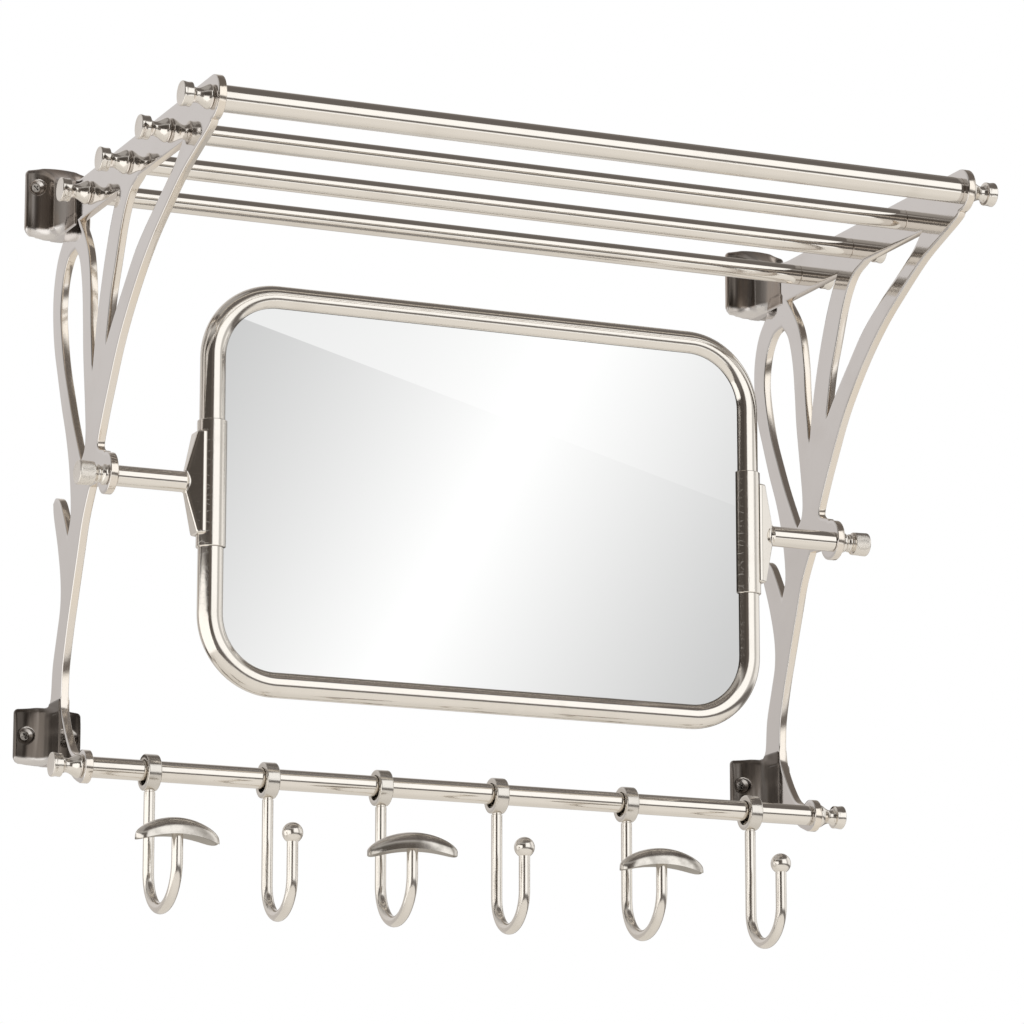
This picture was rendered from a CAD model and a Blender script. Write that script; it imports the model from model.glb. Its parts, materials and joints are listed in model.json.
import json
import math

import bmesh
import bpy
import numpy as np
from bpy.props import FloatProperty, FloatVectorProperty, IntProperty, PointerProperty
from mathutils import Matrix, Vector
from mathutils.geometry import tessellate_polygon


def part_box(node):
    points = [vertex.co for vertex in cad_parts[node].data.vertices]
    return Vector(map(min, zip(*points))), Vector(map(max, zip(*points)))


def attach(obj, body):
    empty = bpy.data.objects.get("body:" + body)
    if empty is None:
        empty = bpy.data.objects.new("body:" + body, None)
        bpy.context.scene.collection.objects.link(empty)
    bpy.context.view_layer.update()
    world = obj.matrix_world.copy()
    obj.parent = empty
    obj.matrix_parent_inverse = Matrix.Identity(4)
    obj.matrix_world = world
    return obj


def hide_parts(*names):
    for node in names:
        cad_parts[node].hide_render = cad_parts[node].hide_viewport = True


bl_info = {
    "name": "Wall rack with mirror and hooks",
    "version": (1, 0, 0),
    "blender": (4, 5, 0),
    "location": "3D View > Sidebar > Rack",
    "description": "Dresses the wall rack's frame in polished metal, mirror glass and studio light",
    "category": "Object",
}

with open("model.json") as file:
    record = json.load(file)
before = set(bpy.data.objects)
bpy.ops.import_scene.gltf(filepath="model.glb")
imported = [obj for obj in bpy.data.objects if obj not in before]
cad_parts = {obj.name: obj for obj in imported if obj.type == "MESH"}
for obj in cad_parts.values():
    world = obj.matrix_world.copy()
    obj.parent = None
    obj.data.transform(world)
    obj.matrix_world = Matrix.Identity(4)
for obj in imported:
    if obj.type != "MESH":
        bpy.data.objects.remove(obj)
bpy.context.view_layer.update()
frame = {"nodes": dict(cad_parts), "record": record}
MM = 0.001
SIDES = {"left": -1, "right": 1}
HAT_RESTS = (1, 3, 5)
BALLS = (2, 4, 6)


# ---------------------------------------------------------------- sizes and colours

def measure(name, description, millimetres):
    return FloatProperty(
        name=name, description=description, default=millimetres * MM, subtype="DISTANCE", unit="LENGTH")


def colour(name, description, value):
    return FloatVectorProperty(
        name=name, description=description, default=value, size=3, subtype="COLOR", min=0, max=1)


class RackSizes(bpy.types.PropertyGroup):
    round_steps: IntProperty(
        name="Steps around a rod", description="Faces around a turned piece",
        default=96, min=24, max=256)
    rod_chamfer: measure("Rod chamfer", "Chamfer at the ends of the rods", 0.4)
    cast_edge: measure("Casting edge", "How far in the casting's flat sides begin to roll off", 1.9)
    cast_drop: measure("Casting roll-off", "How much thinner each side of the casting is at its rims", 0.55)
    saddle_edge: measure("Saddle edge", "Rounding of the saddles' edges", 0.9)
    stud_radius: measure("Stud radius", "Radius of a finial's stud", 4)
    finial_length: measure("Finial length", "Length of a finial or knob outside its bracket", 17.5)
    button_length: measure("Button length", "Length of a finial's button", 5.8)
    grip_length: measure("Grip length", "Length of a pivot knob's fluted grip", 9.4)
    flute_depth: measure("Flute depth", "Depth of the grip flutes on the pivot knobs", 0.13)
    flute_count: IntProperty(
        name="Flutes", description="Grip flutes around a pivot knob", default=60, min=12, max=80)
    plate_pillow: measure("Plate pillow", "How much thinner a wall plate gets towards its edges", 1.5)
    plate_fillet: measure("Plate fillet", "Radius of the hollow between a wall plate and its boss", 9.5)
    tube_wall: measure("Tube wall", "Wall of the mirror's tube", 2)
    tube_bend: measure("Tube bend", "Radius of the bends of the mirror's tube, at its middle", 38.5)
    slot_half: measure("Half slot", "Half the width of the slot that holds the glass", 3.3)
    glass_corner: measure("Glass corner", "Radius at the corners of the glass and of its panel", 34.5)
    glass_edge: measure("Glass edge", "Ground edge of the mirror glass", 0.5)
    rest_cup: measure("Cup", "Depth of the hollow under a hat rest", 2.2)
    screw_radius: measure("Screw head radius", "Radius of a wall screw's head", 2.8)


class RackFinishes(bpy.types.PropertyGroup):
    nickel: colour("Nickel", "Polished warm nickel of the rods and hooks", (0.83, 0.79, 0.735))
    nickel_deep: colour("Nickel shade", "Nickel where it is a little duller", (0.76, 0.715, 0.655))
    casting: colour("Casting", "Polished casting of the side brackets", (0.775, 0.75, 0.735))
    casting_deep: colour("Casting shade", "Casting where the polish is thinner", (0.69, 0.655, 0.63))
    casting_inner: colour("Casting, inner rims", "Less polished rims in the openings", (0.60, 0.52, 0.44))
    casting_rim: colour("Casting rim", "Ground rims of the casting, a little tarnished", (0.84, 0.76, 0.66))
    plate: colour("Wall plate", "Dark plating of the wall plates", (0.20, 0.172, 0.150))
    glass_dim: colour("Glass, dim side", "Mirror glass away from its sheen", (0.50, 0.502, 0.505))
    glass_sheen: colour("Glass sheen", "Mirror glass where the sheen is brightest", (0.85, 0.853, 0.856))
    panel: colour("Back panel", "Paint of the panel behind the glass", (0.45, 0.45, 0.46))
    screw_steel: colour("Screw", "Plated steel of the wall screws", (0.31, 0.285, 0.26))


class StudioLight(bpy.types.PropertyGroup):
    lens: FloatProperty(
        name="Lens", description="Focal length of the camera in millimetres",
        default=171.52, min=20, max=500)
    floor_drop: FloatProperty(
        name="Floor", description="Height of the floor below the origin",
        default=1.25, subtype="DISTANCE", unit="LENGTH")


def sizes():
    return bpy.context.scene.rack_sizes


def finishes():
    return bpy.context.scene.rack_finishes


def studio():
    return bpy.context.scene.rack_studio


# ---------------------------------------------------------------- shader expressions

class Value:
    """An output socket of a shader node that can stand in a sum."""

    def __init__(self, sheet, socket):
        self.sheet = sheet
        self.socket = socket

    def other(self, name):
        return Value(self.sheet, self.socket.node.outputs[name])

    def _sum(self, operation, a, b=None):
        sockets = {0: a} if b is None else {0: a, 1: b}
        return self.sheet.node("ShaderNodeMath", {"operation": operation}, sockets)

    def __add__(self, b):
        return self._sum("ADD", self, b)

    def __radd__(self, a):
        return self._sum("ADD", a, self)

    def __sub__(self, b):
        return self._sum("SUBTRACT", self, b)

    def __rsub__(self, a):
        return self._sum("SUBTRACT", a, self)

    def __mul__(self, b):
        return self._sum("MULTIPLY", self, b)

    def __rmul__(self, a):
        return self._sum("MULTIPLY", a, self)

    def __truediv__(self, b):
        return self._sum("DIVIDE", self, b)

    def __rtruediv__(self, a):
        return self._sum("DIVIDE", a, self)

    def __pow__(self, b):
        return self._sum("POWER", self, b)

    def __rpow__(self, a):
        return self._sum("POWER", a, self)

    def __neg__(self):
        return self._sum("MULTIPLY", self, -1.0)

    def __abs__(self):
        return self._sum("ABSOLUTE", self)


class Sheet:
    """The node tree of one material or of the world."""

    def __init__(self, owner):
        owner.use_nodes = True
        self.tree = owner.node_tree
        self.tree.nodes.clear()

    def node(self, kind, settings=None, sockets=None, out=0):
        """A new node: its settings first, then the values or links of its sockets."""
        made = self.tree.nodes.new(kind)
        for key, value in (settings or {}).items():
            setattr(made, key, value)
        for key, value in (sockets or {}).items():
            if isinstance(value, Value):
                self.tree.links.new(value.socket, made.inputs[key])
            elif isinstance(made.inputs[key].default_value, float) or isinstance(value, (int, float)):
                made.inputs[key].default_value = value
            else:
                given = tuple(value)
                wanted = len(made.inputs[key].default_value)
                made.inputs[key].default_value = given + (1.0,) * (wanted - len(given))
        return Value(self, made.outputs[out]) if made.outputs else made

    def mix(self, share, a, b):
        """Colour a where share is 0 and b where it is 1."""
        return self.node("ShaderNodeMix", {"data_type": "RGBA"}, {0: share, 6: a, 7: b}, out=2)

    def step(self, value, low, high):
        """0 below low, 1 above high, with a soft rise between them."""
        if low > high:
            return 1 - self.step(value, high, low)
        return self.node(
            "ShaderNodeMapRange", {"interpolation_type": "SMOOTHSTEP"},
            {0: value, 1: low, 2: high, 3: 0.0, 4: 1.0})

    def band(self, value, low, high, soft):
        """1 between low and high, with soft sides."""
        return self.step(value, low - soft, low + soft) * self.step(value, high + soft, high - soft)

    def least(self, a, b):
        return self.node("ShaderNodeMath", {"operation": "MINIMUM"}, {0: a, 1: b})

    def most(self, a, b):
        return self.node("ShaderNodeMath", {"operation": "MAXIMUM"}, {0: a, 1: b})

    def place(self):
        """Place on the piece, in metres."""
        return self.node("ShaderNodeTexCoord", out="Object")

    def parts(self, vector):
        """The three numbers of a vector."""
        x = self.node("ShaderNodeSeparateXYZ", {}, {"Vector": vector}, out="X")
        return x, x.other("Y"), x.other("Z")

    def facing(self):
        """The way the surface faces, as three numbers on the piece's own axes."""
        return self.parts(self.node("ShaderNodeTexCoord", out="Normal"))

    def cells(self, place, scale, feature="F1"):
        return self.node("ShaderNodeTexVoronoi", {"feature": feature}, {"Vector": place, "Scale": scale})

    def stretched(self, place, scale, turn=(0, 0, 0)):
        return self.node("ShaderNodeMapping", {}, {"Vector": place, "Scale": scale, "Rotation": turn})

    def noise(self, place, scale, detail=3.0, roughness=0.5):
        return self.node(
            "ShaderNodeTexNoise", {},
            {"Vector": place, "Scale": scale, "Detail": detail, "Roughness": roughness})

    def bump(self, height, strength, distance, under=None):
        sockets = {"Height": height, "Strength": strength, "Distance": distance}
        if under is not None:
            sockets["Normal"] = under
        return self.node("ShaderNodeBump", {}, sockets)

    def surface(self, shader):
        self.node("ShaderNodeOutputMaterial", {}, {"Surface": shader})

    def glow(self, shade, strength=1.0):
        return self.node("ShaderNodeEmission", {}, {"Color": shade, "Strength": strength})

    def paint(self, base, roughness, normal, **fixed):
        self.surface(self.node(
            "ShaderNodeBsdfPrincipled", {},
            {"Base Color": base, "Roughness": roughness, "Normal": normal, **fixed}))

    def metal(self, base, roughness, normal, **fixed):
        self.paint(base, roughness, normal, Metallic=1.0, **fixed)


def worn_edges(sheet, low=0.52, high=0.60):
    """1 on raised edges, 0 on flats."""
    return sheet.step(sheet.node("ShaderNodeNewGeometry", out="Pointiness"), low, high)


def toned(shade, share):
    """The shade with each of its parts times the share."""
    return tuple(share * part for part in shade)


def finish(name):
    """The named material, made on its first use."""
    known = bpy.data.materials.get(name)
    if known:
        return known
    material = bpy.data.materials.new(name)
    FINISH_MAKERS[name](Sheet(material))
    return material


def polished_nickel(sheet, fine=1.0, grain=(260, 14, 14), rub=1.0, tone=1.0):
    """Bright plated nickel: faint haze, polishing lines and hairline scratches.

    fine multiplies the roughness, grain stretches the polishing lines along X, Y and Z, rub
    multiplies their relief, and tone multiplies the colour."""
    look = finishes()
    place = sheet.place()
    haze = sheet.noise(place, 38.0, 4.0, 0.55)
    lines = sheet.noise(sheet.stretched(place, grain), 26.0, 2.0, 0.6)
    ripple = sheet.noise(place, 75.0, 1.0, 0.4)
    scratches = sheet.cells(sheet.stretched(place, (9, 60, 60), (0.3, 0.2, 0.9)), 3.2, "DISTANCE_TO_EDGE")
    hairline = sheet.step(scratches, 0.016, 0.004)
    dull = sheet.step(haze, 0.48, 0.74)
    base = sheet.mix(
        dull * 0.55 + lines * 0.12, toned(look.nickel, tone), toned(look.nickel_deep, tone ** 2))
    rough = 0.045 * fine + dull * 0.05 + lines * 0.03 + hairline * 0.06
    relief = sheet.bump(ripple, 0.10 * min(rub, 1.0), 0.0006)
    relief = sheet.bump(lines * 0.6 - hairline * 0.5, 0.05 * rub, 0.0002, relief)
    sheet.metal(base, rough, relief)


def turned_nickel(sheet):
    """Nickel on the rods, polished while they turned."""
    polished_nickel(sheet, fine=1.3, grain=(300, 10, 10))


def finial_nickel(sheet):
    """Nickel on the finials and on the necks of the knobs, a little softer than the rods."""
    polished_nickel(sheet, fine=2.8, grain=(300, 10, 10), rub=0.6)


def frame_nickel(sheet):
    """Nickel on the mirror's tube and its saddles, polished along the tube."""
    polished_nickel(sheet, fine=2.0, grain=(60, 60, 22))


def hook_nickel(sheet):
    """Softly brushed nickel on the hooks' stems and balls."""
    polished_nickel(sheet, fine=3.2, grain=(16, 16, 5), rub=0.3)


def rest_nickel(sheet):
    """Satin nickel on the hat rests, cloudy on top and darker underneath."""
    look = finishes()
    place = sheet.place()
    cloud = sheet.noise(place, 85.0, 3.0, 0.55)
    brushed = sheet.noise(sheet.stretched(place, (30, 260, 260)), 1.0, 2.0, 0.5)
    under = sheet.step(sheet.facing()[2], 0.12, -0.45)
    cloudy = sheet.step(cloud, 0.42, 0.70)
    base = sheet.mix(cloudy, toned(look.nickel, 0.92), toned(look.nickel_deep, 0.66))
    base = sheet.mix(under * 0.85, base, toned(look.nickel_deep, 0.50))
    rough = 0.13 + cloud * 0.07 + brushed * 0.04
    relief = sheet.bump(cloud, 0.14, 0.0009)
    relief = sheet.bump(brushed, 0.04, 0.0002, relief)
    sheet.metal(base, rough, relief)


def ring_nickel(sheet):
    """Satin nickel on the hooks' rings, brushed around the rail."""
    polished_nickel(sheet, fine=3.4, grain=(340, 12, 12), rub=1.6, tone=0.88)


def sleeve_nickel(sheet):
    """Nickel on the sleeves, rubbed and pitted by handling."""
    polished_nickel(sheet, fine=2.2, grain=(120, 120, 12), rub=2.4)


def knurled_nickel(sheet):
    """Nickel on the fluted grips of the pivot knobs, duller than the finials."""
    polished_nickel(sheet, fine=5.5, grain=(16, 16, 8), rub=0.3)


def casting_openings(sheet):
    """Rims inside the casting's openings, less polished and browner."""
    look = finishes()
    place = sheet.place()
    cloud = sheet.noise(place, 60.0, 4.0, 0.6)
    grit = sheet.noise(place, 1100.0, 2.0, 0.6)
    base = sheet.mix(cloud * 0.7, look.casting_rim, look.casting_inner)
    base = sheet.mix(sheet.step(grit, 0.56, 0.72) * 0.4, base, toned(look.casting_inner, 0.7))
    relief = sheet.bump(cloud, 0.12, 0.0007)
    relief = sheet.bump(grit, 0.16, 0.0002, relief)
    sheet.metal(base, 0.20 + cloud * 0.12 + grit * 0.08, relief)


def polished_casting(sheet):
    """Casting with mirror-polished flat sides and softer, slightly tarnished rims."""
    look = finishes()
    place = sheet.place()
    cloud = sheet.noise(place, 21.0, 5.0, 0.6)
    wheel = sheet.noise(sheet.stretched(place, (30, 60, 420), (0.5, 0, 0)), 9.0, 2.0, 0.55)
    grit = sheet.noise(place, 900.0, 2.0, 0.6)
    pit = sheet.step(sheet.cells(place, 420.0), 0.16, 0.05) * sheet.step(cloud, 0.52, 0.66)
    rim = 1 - sheet.step(abs(sheet.facing()[0]), 0.40, 0.80)
    dull = sheet.step(cloud, 0.42, 0.74) * (1 - rim)
    base = sheet.mix(dull * 0.4 + wheel * 0.08 + pit * 0.3, look.casting, look.casting_deep)
    tarnish = rim * (0.55 + 0.45 * sheet.step(cloud, 0.35, 0.7))
    base = sheet.mix(tarnish, base, look.casting_rim)
    rough = 0.035 + dull * 0.025 + wheel * 0.015 + pit * 0.1 + rim * (0.06 + 0.08 * grit)
    relief = sheet.bump(sheet.noise(place, 24.0, 1.0, 0.4), 0.10, 0.0012)
    relief = sheet.bump(wheel * 0.4 - pit * 0.6 + rim * grit, 0.05, 0.0002, relief)
    sheet.metal(base, rough, relief)


def plate_casting(sheet):
    """Streaky plating of the wall plates and bosses.

    It is darkest on the flat fronts and on the lower plates, paler at the sides, and bright where
    the plates turn downward."""
    look = finishes()
    place = sheet.place()
    cloud = sheet.noise(place, 42.0, 3.0, 0.55)
    streak = sheet.noise(sheet.stretched(place, (620, 200, 14)), 1.0, 3.0, 0.6)
    pit = sheet.step(sheet.cells(place, 520.0), 0.13, 0.04) * sheet.step(cloud, 0.50, 0.62)
    _, facing_y, facing_z = sheet.facing()
    front = sheet.step(-facing_y, 0.82, 0.97)
    downward = sheet.step(facing_z, -0.10, -0.42)
    lower = sheet.step(sheet.parts(place)[2], 0.05, -0.05)
    patch = sheet.step(sheet.noise(sheet.stretched(place, (150, 60, 16)), 1.0, 2.0, 0.5), 0.50, 0.68)
    grain = streak * 0.7 + cloud * 0.3
    dark = sheet.mix(grain, toned(look.plate, 0.22), toned(look.plate, 0.60))
    side = sheet.mix(grain, toned(look.plate, 1.7), toned(look.plate, 3.4))
    bright = sheet.mix(cloud * 0.6, toned(look.casting, 0.62), toned(look.casting, 0.34))
    base = sheet.mix(patch * 0.6, side, bright)
    base = sheet.mix(front * (1 - patch * 0.4), base, dark)
    base = sheet.mix(lower * (0.86 - 0.4 * patch), base, dark)
    base = sheet.mix(downward * 0.9, base, look.casting)
    base = sheet.mix(worn_edges(sheet, 0.54, 0.62) * 0.3, base, look.casting)
    rough = 0.20 + streak * 0.12 + cloud * 0.08 + pit * 0.2
    relief = sheet.bump(cloud, 0.07, 0.0006)
    relief = sheet.bump(streak * 0.6 - pit, 0.05, 0.0002, relief)
    sheet.metal(base, rough, relief)


def mirror_glass_finish(sheet):
    """Silvered glass with the soft slanting sheen that a large pane shows."""
    look = finishes()
    place = sheet.place()
    x, _, z = sheet.parts(place)
    brightest_x = 0.013 + 0.56 * z
    sheen_half = 0.205
    sheen = 1 - sheet.least(abs(x - brightest_x) / sheen_half, 1.0)
    line_z = 0.0282 - 0.2634 * x
    above = sheet.step(z - line_z, -0.0003, 0.0003)
    lift = sheet.least(sheet.most(0.34 - 1.5 * x, 0.06), 0.56)
    bright = sheen + (1 - sheen) * above * lift
    base = sheet.mix(bright ** 1.12, look.glass_dim, look.glass_sheen)
    dust = sheet.noise(place, 160.0, 5.0, 0.7)
    smear = sheet.noise(sheet.stretched(place, (4, 1, 11), (0, 0.6, 0)), 6.0, 3.0, 0.5)
    rough = 0.012 + 0.012 * sheet.step(smear, 0.5, 0.8) + 0.01 * sheet.step(dust, 0.62, 0.8)
    relief = sheet.bump(smear, 0.01, 0.0003)
    sheet.metal(base, rough, relief, **{"Coat Weight": 0.25, "Coat Roughness": 0.02})


def painted_panel(sheet):
    """Satin grey paint with orange peel, rubbed along its edges."""
    look = finishes()
    place = sheet.place()
    peel = sheet.noise(place, 620.0, 2.0, 0.5)
    cloud = sheet.noise(place, 16.0, 4.0, 0.6)
    rub = worn_edges(sheet, 0.53, 0.62)
    base = sheet.mix(cloud * 0.35, look.panel, toned(look.panel, 0.82))
    base = sheet.mix(rub * 0.5, base, (0.62, 0.62, 0.63))
    sheet.paint(base, 0.42 + cloud * 0.16 - rub * 0.1, sheet.bump(peel, 0.16, 0.0003))


def screw_steel(sheet):
    """Plated steel of the wall screws, turned on the face."""
    look = finishes()
    place = sheet.place()
    cloud = sheet.noise(place, 420.0, 3.0, 0.6)
    edge = worn_edges(sheet, 0.52, 0.62)
    base = sheet.mix(cloud * 0.5, look.screw_steel, toned(look.screw_steel, 0.72))
    sheet.metal(base, 0.2 + cloud * 0.14 - edge * 0.08, sheet.bump(cloud, 0.12, 0.0002))


def pale_floor(sheet):
    """Plain pale floor that the metal mirrors as an even warm white."""
    place = sheet.place()
    cloud = sheet.noise(place, 3.0, 3.0, 0.5)
    back = sheet.step(sheet.parts(place)[1], -0.9, 0.5)
    shade = sheet.mix(back, (0.93, 0.90, 0.85), (0.80, 0.77, 0.72))
    shade = sheet.mix(cloud * 0.15, shade, (0.84, 0.81, 0.76))
    path = sheet.node("ShaderNodeLightPath", out="Is Camera Ray")
    seen = sheet.most(path, path.other("Is Glossy Ray")) * 0.93
    matt = sheet.node("ShaderNodeBsdfDiffuse", {}, {"Color": shade})
    sheet.surface(sheet.node("ShaderNodeMixShader", {}, {0: seen, 1: matt, 2: sheet.glow(shade)}))


def light_card(sheet):
    """Plain white card that brightens the hooks from the left."""
    fade = sheet.noise(sheet.place(), 2.0, 1.0, 0.4)
    shade = sheet.mix(fade * 0.2, (1.0, 0.985, 0.96), (0.94, 0.92, 0.89))
    sheet.surface(sheet.glow(shade, 1.32))


FINISH_MAKERS = {maker.__name__: maker for maker in (
    turned_nickel, finial_nickel, frame_nickel, hook_nickel, rest_nickel, ring_nickel, sleeve_nickel,
    knurled_nickel, polished_casting, casting_openings, plate_casting, mirror_glass_finish,
    painted_panel, screw_steel, pale_floor, light_card)}


# ---------------------------------------------------------------- making pieces

def middle(node):
    low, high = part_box(node)
    return (low + high) / 2


def shade_edges(mesh, degrees=32, flat=None):
    """Smooth faces, sharp where the surface turns and around faces square to the flat axis."""
    work = bmesh.new()
    work.from_mesh(mesh)
    bmesh.ops.recalc_face_normals(work, faces=work.faces)
    work.normal_update()

    def plane(face):
        return flat is not None and abs(face.normal[flat]) > 0.9999

    for face in work.faces:
        face.smooth = True
    for edge in work.edges:
        sides = [plane(face) for face in edge.link_faces]
        edge.smooth = edge.calc_face_angle(math.pi) < math.radians(degrees) and len(set(sides)) == 1
    work.to_mesh(mesh)
    work.free()


def finished(name, mesh, material):
    """An object in the scene from its mesh, in one finish."""
    made = bpy.data.objects.new(name, mesh)
    bpy.context.scene.collection.objects.link(made)
    mesh.materials.clear()
    mesh.materials.append(finish(material))
    return made


def add_piece(name, mesh, body, material, nodes=(), degrees=32, flat=None):
    """A piece of the rack from its mesh: shaded, finished and riding on its body."""
    shade_edges(mesh, degrees, flat)
    piece = finished(name, mesh, material)
    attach(piece, body)
    if nodes:
        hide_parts(*nodes)
    return piece


def mesh_of(name, points, faces):
    mesh = bpy.data.meshes.new(name)
    mesh.from_pydata([tuple(p) for p in points], [], faces)
    mesh.validate()
    return mesh


def arc(cx, cy, radius, start, end, steps):
    """Points of an arc, its angles in degrees."""
    turn = [math.radians(start + (end - start) * k / max(steps, 1)) for k in range(steps + 1)]
    return [(cx + radius * math.cos(t), cy + radius * math.sin(t)) for t in turn]


def circle(radius, steps):
    """Points evenly round a circle."""
    turns = [2 * math.pi * k / steps for k in range(steps)]
    return [(radius * math.cos(t), radius * math.sin(t)) for t in turns]


def turned(name, profile, origin, along, steps=None, closed=False, flutes=None):
    """Lathe of (distance along, radius) points about an axis through origin."""
    steps = steps or sizes().round_steps
    along = Vector(along).normalized()
    side = along.orthogonal().normalized()
    up = along.cross(side)
    points, rings = [], []
    for place, radius in profile:
        if radius < 1e-7:
            rings.append([len(points)])
            points.append(origin + along * place)
            continue
        rings.append(list(range(len(points), len(points) + steps)))
        for k in range(steps):
            t = 2 * math.pi * k / steps
            r = radius - (flutes(place, t) if flutes else 0)
            points.append(origin + along * place + (side * math.cos(t) + up * math.sin(t)) * r)
    pairs = list(zip(rings, rings[1:]))
    if closed:
        pairs.append((rings[-1], rings[0]))
    faces = []
    for a, b in pairs:
        for k in range(steps):
            n = (k + 1) % steps
            if len(a) == 1 and len(b) == 1:
                continue
            if len(a) == 1:
                faces.append((a[0], b[k], b[n]))
            elif len(b) == 1:
                faces.append((a[k], b[0], a[n]))
            else:
                faces.append((a[k], b[k], b[n], a[n]))
    return mesh_of(name, points, faces)


def swept(name, section, stations):
    """Section carried along stations of (origin, a axis, b axis, a section of its own or None)."""
    points, faces = [], []
    count = len(section)
    for origin, a_axis, b_axis, own in stations:
        for a, b in (own or section):
            points.append(origin + a_axis * a + b_axis * b)
    for s in range(len(stations) - 1):
        for k in range(count):
            n = (k + 1) % count
            faces.append((s * count + k, s * count + n, (s + 1) * count + n, (s + 1) * count + k))
    faces.append(tuple(range(count)))
    faces.append(tuple(reversed(range((len(stations) - 1) * count, len(stations) * count))))
    return mesh_of(name, points, faces)


# ---------------------------------------------------------------- side brackets

def side_loops(node, x):
    """Flat side of a casting at x, as loops of (depth, height) with the metal on their left.

    The faces are walked in the mesh's own order, so the loops come out the same each run."""
    weld, level, closest = 1e-6, 2e-6, 0.3 * MM
    work = bmesh.new()
    work.from_mesh(frame["nodes"][node].data)
    bmesh.ops.remove_doubles(work, verts=work.verts, dist=weld)
    faces = [f for f in work.faces if all(abs(v.co.x - x) < level for v in f.verts)]
    side = set(faces)
    after = {}
    for face in faces:
        for corner in face.loops:
            if sum(f in side for f in corner.edge.link_faces) == 1:
                after[corner.vert] = corner.link_loop_next.vert
    loops = []
    while after:
        start, place = after.popitem()
        loop = [start.co.copy()]
        while place is not start:
            if (place.co - loop[-1]).length > closest:
                loop.append(place.co.copy())
            place = after.pop(place)
        loops.append([Vector((-co.y, co.z)) for co in loop])
    work.free()
    outline = max(loops, key=len)
    turn = sum(a.x * b.y - b.x * a.y for a, b in zip(outline, outline[1:] + outline[:1]))
    return [loop if turn > 0 else loop[::-1] for loop in loops]


def inward(loop):
    """For each corner of a loop, the step into the metal that insets both its sides by one."""
    steps = []
    for k, here in enumerate(loop):
        before = (here - loop[k - 1]).normalized()
        after = (loop[(k + 1) % len(loop)] - here).normalized()
        a, b = Vector((-before.y, before.x)), Vector((-after.y, after.x))
        step = (a + b) / max(1 + a.dot(b), 0.4)
        steps.append(step)
    return steps


# The bosses that cover the casting's edge: reach from the wall, bottom and top, in millimetres,
# and how far from them the edge is rolled off in full
BOSSES = ((43.2, 132.5, 163.5), (33.0, -181.5, -148.0))
BOSS_FADE = 5


def boss_clearance(point):
    """0 where a boss covers the casting's edge, 1 clear of the bosses."""
    d, z = point / MM
    near = min(
        math.hypot(max(d - reach, 0), max(low - z, 0), max(z - high, 0)) for reach, low, high in BOSSES)
    share = min(near / BOSS_FADE, 1)
    return share * share * (3 - 2 * share)


def eased(loop, steps, inset):
    """Share of the inset at each corner of a loop, less where the inset loop would cross itself."""
    shortest_side, ease, rounds = 0.12, 0.82, 40
    count = len(loop)
    share = [boss_clearance(p) for p in loop]
    for _ in range(rounds):
        moved = [p + s * (inset * w) for p, s, w in zip(loop, steps, share)]
        crossed = []
        for k in range(count):
            n = (k + 1) % count
            side = loop[n] - loop[k]
            if (moved[n] - moved[k]).dot(side) < shortest_side * side.length_squared:
                crossed += [k, n]
        for k in set(crossed):
            share[k] *= ease
        if not crossed:
            break
    return share


def cut_plate(name, loops, x, half, inset, drop):
    """Plate of the loops' shape across X, its flat sides rolling off towards the rims.

    The middle of the rims in its openings takes the second finish."""
    roll_steps, opening_rows = 8, 3
    turns = [math.radians(90 * k / roll_steps) for k in range(roll_steps + 1)]
    rows = [(1, 1 - math.cos(t), 1 - math.sin(t)) for t in turns]
    rows += [(-1, fall, run) for _, fall, run in reversed(rows)]
    ways = [inward(loop) for loop in loops]
    shares = [eased(loop, steps, inset) for loop, steps in zip(loops, ways)]
    total = sum(len(loop) for loop in loops)
    points, faces = [], []
    for side, fall, run in rows:
        for loop, steps, share in zip(loops, ways, shares):
            for p, s, w in zip(loop, steps, share):
                flat = p + s * (inset * run * w)
                points.append((x - side * (half - drop * fall * w), -flat.x, flat.y))
    for row in range(len(rows) - 1):
        start = row * total
        for loop in loops:
            count = len(loop)
            for k in range(count):
                n = (k + 1) % count
                faces.append((start + k, start + n, start + total + n, start + total + k))
            start += count
    flat = [[(p + s * (inset * w)).to_3d() for p, s, w in zip(loop, steps, share)]
            for loop, steps, share in zip(loops, ways, shares)]
    cap = [tuple(t) for t in tessellate_polygon(flat)]
    last = (len(rows) - 1) * total
    faces += cap + [tuple(last + k for k in reversed(t)) for t in cap]
    mesh = mesh_of(name, points, faces)
    outline = max(loops, key=len)
    first = sum(len(loop) for loop in loops[:loops.index(outline)])
    middle_row = len(rows) // 2 - 1
    for face in mesh.polygons:
        row, place = divmod(min(face.vertices), total)
        inner = not first <= place < first + len(outline)
        rim = len(face.vertices) == 4 and abs(row - middle_row) <= opening_rows
        face.material_index = int(inner and rim)
    return mesh


def joined(a, b, radius):
    """Distance to two bodies joined with a fillet."""
    both = np.hypot(np.maximum(radius - a, 0), np.maximum(radius - b, 0))
    return np.maximum(radius, np.minimum(a, b)) - both


def shared(a, b, radius):
    """Distance to what two bodies share, with a rounded edge."""
    both = np.hypot(np.maximum(radius + a, 0), np.maximum(radius + b, 0))
    return np.minimum(-radius, np.maximum(a, b)) + both


def common(*bodies):
    """Distance to what all the bodies share, with sharp edges."""
    body = bodies[0]
    for other in bodies[1:]:
        body = np.maximum(body, other)
    return body


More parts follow.
